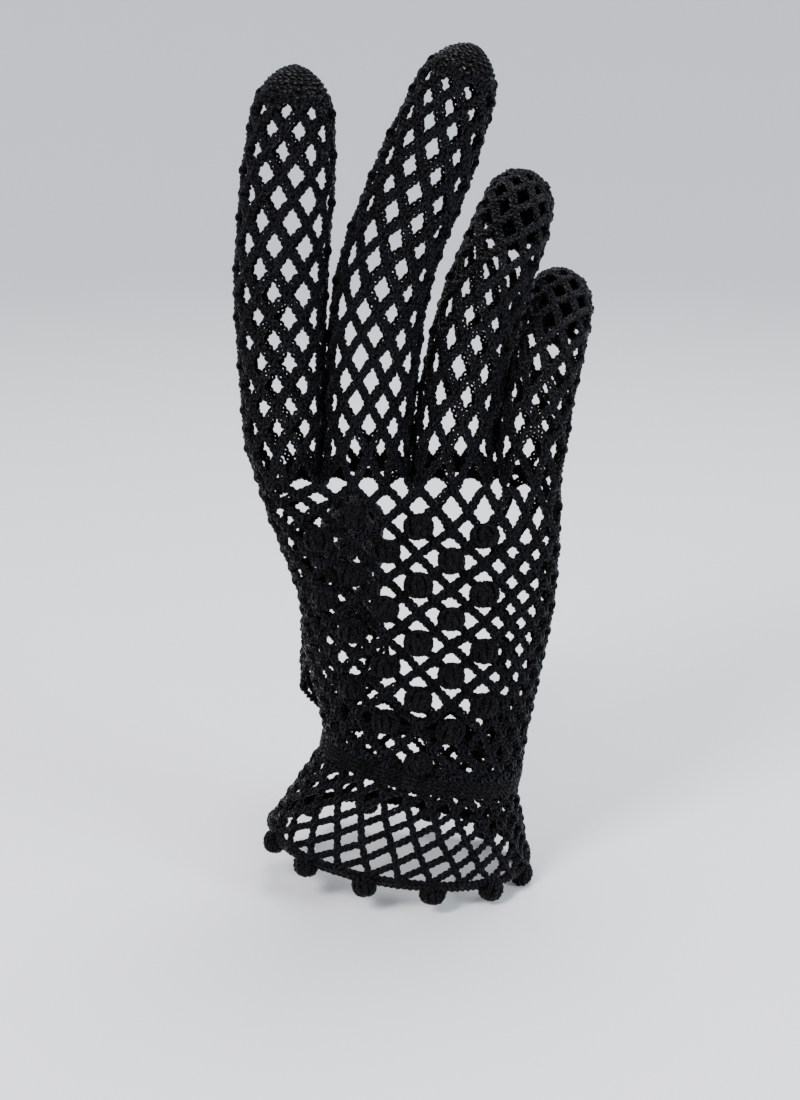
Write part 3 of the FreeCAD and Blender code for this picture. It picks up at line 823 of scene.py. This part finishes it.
# ---- digits --------------------------------------------------------------------------------------
def fastening(yarn, stall, strand=0.45, samples=12):
    """The knot that fastens the yarn off at the tip."""
    axis = stall.direction(np.array(stall.length))
    tip = stall.place(np.array(stall.length)) - axis * 0.5
    side = unit(np.cross(axis, (0.3, 0.8, 0.1)))
    other = np.cross(axis, side)
    turn = 2 * math.pi * np.arange(samples)[:, None] / samples
    loops = (side, other, 0.85), (side, axis, 0.8), (other, axis, 0.75), (unit(side + other), axis, 0.6)
    for a, b, radius in loops:
        ring = tip + a * np.cos(turn) * radius + b * np.sin(turn) * radius
        yarn.tubes(ring[None], np.broadcast_to(np.cross(a, b), (1, samples, 3)), strand, closed=True)


def lay_rosette(stall, top_loop, body):
    """Dense rounds in a spiral that gathers the stall's end. The first one follows the net's last row."""
    height = stall.length - stall.dome
    start = math.asin((height - ROSETTE_LENGTH[stall.name]) / height)
    rounds = (0.5 * math.pi - start) * height / ROSETTE_ROUND
    t = np.linspace(0, 1, ROSETTE_SAMPLES)
    rise = start + (0.5 * math.pi - ROSETTE_HOLE - start) * t
    s = stall.dome + (height - DIGIT_INSET) * np.sin(rise)
    loop = stall.loops * rounds * t
    wave = 0.5 - 0.5 * np.cos(2 * math.pi * (loop - top_loop))
    s = s - ROSETTE_WAVE * wave * (1 - ramp(loop / stall.loops, *WAVE_FADE))
    path = stall.point(loop[None], s[None])
    middle = stall.place(np.array(stall.dome - 2.0))
    yarn = Yarn()
    yarn.plait(path, unit(path - middle), ROSETTE_CHAIN)
    fastening(yarn, stall)
    on_body(yarn.piece(f"{stall.name}_rosette", DENSE), body, f"{stall.name}_tip_rosette")


def divide(stall, first, last):
    """Lengths at which the stall's net is divided, midway between the stretches that bend."""
    cuts = [first]
    for k in range(len(stall.hinges) - 1):
        cuts.append(0.5 * (stall.hinges[k] + stall.reach(k) + stall.hinges[k + 1] - stall.reach(k + 1)))
    return cuts + [last]


def lay_stall(name, parts, start_of, anchors=None):
    """The nets of one digit, each across one hinge, where the stall's centre line bends. start_of gives the
    length where a loop begins.
    The lowest knots move to the nearest of the anchors."""
    stall = stalls[name]
    end = stall.length - ROSETTE_LENGTH[name]
    first = float(np.mean(start_of(np.arange(stall.loops))))
    rows = int(round((end - first) / FINGER_ROW))
    knots = knot_grid(rows, stall.loops, FINGER_STEP, FINGER_JITTER)

    def point(loop, row):
        begin, share = start_of(loop), row / rows
        crowding, power = TIP_CROWDING[name]
        share = share + crowding * share ** power * (1 - share)
        return stall.point(loop, begin + (end - begin) * share, leaning=name != "thumb")

    fix = None
    if anchors is not None:
        ring = point(knots[0][:, 0], knots[0][:, 1])
        fix = anchors[np.argmin(np.linalg.norm(ring[:, None] - anchors, axis=2), axis=1)]
    height = (end - first) / rows
    cuts = [int(round((s - first) / height)) for s in divide(stall, first, end)]
    parent = "hand"
    for k, (part, flex) in enumerate(parts):
        yarn = Yarn()
        lay_net(yarn, point, knots, range(cuts[k], cuts[k + 1]), FINGER_CHAIN, fix if k == 0 else None)
        if k == len(parts) - 1:
            top = knots[rows]
            up = stall.direction(np.full(stall.loops, end))
            yarn.knots(point(top[:, 0], top[:, 1]), normals(point, top[:, 0], top[:, 1] - 0.1), up)
        obj = yarn.piece(f"{name}_{part}_chains", COTTON)
        child = f"{name}_{part}"
        hinge, reach = stall.hinges[k], stall.reach(k)
        low = hinge - reach if k == 0 else max(hinge - reach, first + height * cuts[k])
        high = min(hinge + reach, first + height * cuts[k + 1])
        low, high = stall.place(np.array(low)) * MM, stall.place(np.array(high)) * MM
        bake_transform(obj)
        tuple(low)
        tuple(high)
        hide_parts(f"{name}_{flex}_flex", f"{name}_{part}_stall")
        parent = child
    lay_rosette(stall, FINGER_STEP * rows, parent)


for name in ("index", "middle", "ring", "little"):
    anchors = np.concatenate([scallop] + [line[WEB_LEVEL] for line in web_lines[name]])
    parts = [("lower", "base"), ("middle", "middle"), ("upper", "tip")]
    lay_stall(name, parts, lambda loop: 0 * loop, anchors)

yarn = Yarn()
loop = np.linspace(0, thumb.loops, 150, endpoint=False)[None]
path = thumb.point(loop, thumb_begin(loop))
yarn.plait(path, unit(path - thumb.place(thumb_begin(loop))), HOLE_CHAIN, closed=True)
on_body(yarn.piece("thumb_hole_chain", COTTON), "hand", "thumb_gusset")
lay_stall("thumb", [("lower", "base"), ("upper", "tip")], thumb_begin)

# ---- studio --------------------------------------------------------------------------------------
FLOOR = float(cad_box[0][2])
FLOOR_RADIUS, BEND_RADIUS, WALL_TOP = 1.0, 0.7, 1.5
SECTORS, BEND_SAMPLES = 96, 25
TARGET = (0, 0, 0.1)        # where the lights aim; the studio is in metres
CAMERA_PITCH, LENS, SENSOR = 16.0, 68.1382, 36.0


def studio():
    """Pale round floor that curves up into a wall on every side."""
    turn = np.linspace(0, 0.5 * math.pi, BEND_SAMPLES)
    profile = [(FLOOR_RADIUS + BEND_RADIUS * math.sin(a), BEND_RADIUS * (1 - math.cos(a))) for a in turn]
    profile.append((FLOOR_RADIUS + BEND_RADIUS, WALL_TOP))
    vertices = [(0.0, 0.0, FLOOR)]
    for r, z in profile:
        for k in range(SECTORS):
            a = 2 * math.pi * k / SECTORS
            vertices.append((r * math.cos(a), r * math.sin(a), z + FLOOR))
    faces = [(0, 1 + k, 1 + (k + 1) % SECTORS) for k in range(SECTORS)]
    for i in range(len(profile) - 1):
        low, high = 1 + i * SECTORS, 1 + (i + 1) * SECTORS
        for k in range(SECTORS):
            k2 = (k + 1) % SECTORS
            faces.append((low + k, high + k, high + k2, low + k2))
    mesh = bpy.data.meshes.new("studio_floor")
    mesh.from_pydata(vertices, [], faces)
    mesh.polygons.foreach_set("use_smooth", [True] * len(faces))
    material = bpy.data.materials.new("studio_paper")
    material.use_nodes = True
    shader = material.node_tree.nodes["Principled BSDF"]
    shader.inputs["Base Color"].default_value = (0.76, 0.77, 0.79, 1)
    shader.inputs["Roughness"].default_value = 0.9
    mesh.materials.append(material)
    floor = bpy.data.objects.new("studio_floor", mesh)
    bpy.context.scene.collection.objects.link(floor)


def area_light(name, place, size, watts, colour):
    light = bpy.data.lights.new(name, "AREA")
    light.energy, light.size, light.color = watts, size, colour
    obj = bpy.data.objects.new(name, light)
    bpy.context.scene.collection.objects.link(obj)
    obj.location = place
    direction = Vector(TARGET) - Vector(place)
    obj.rotation_euler = direction.to_track_quat("-Z", "Y").to_euler()


studio()
world = bpy.data.worlds.new("soft_room")
world.use_nodes = True
background = world.node_tree.nodes["Background"]
background.inputs["Color"].default_value = (0.86, 0.9, 1.0, 1)
background.inputs["Strength"].default_value = 0.8
bpy.context.scene.world = world
area_light("key", (-0.5, -0.7, 0.75), 0.3, 15.0, (1.0, 0.97, 0.93))
area_light("fill", (0.7, -0.5, 0.35), 0.3, 7.0, (0.88, 0.94, 1.0))
area_light("top", (0.1, 0.35, 0.9), 0.45, 8.0, (1.0, 1.0, 1.0))

camera_data = bpy.data.cameras.new("camera")
camera_data.sensor_fit = "VERTICAL"
camera_data.sensor_height = SENSOR
camera_data.lens = LENS
camera_data.clip_start = 0.01
camera = bpy.data.objects.new("camera", camera_data)
camera.location = EYE * MM
camera.rotation_euler = (math.radians(90 - CAMERA_PITCH), 0, 0)
bpy.context.scene.collection.objects.link(camera)
bpy.context.scene.camera = camera
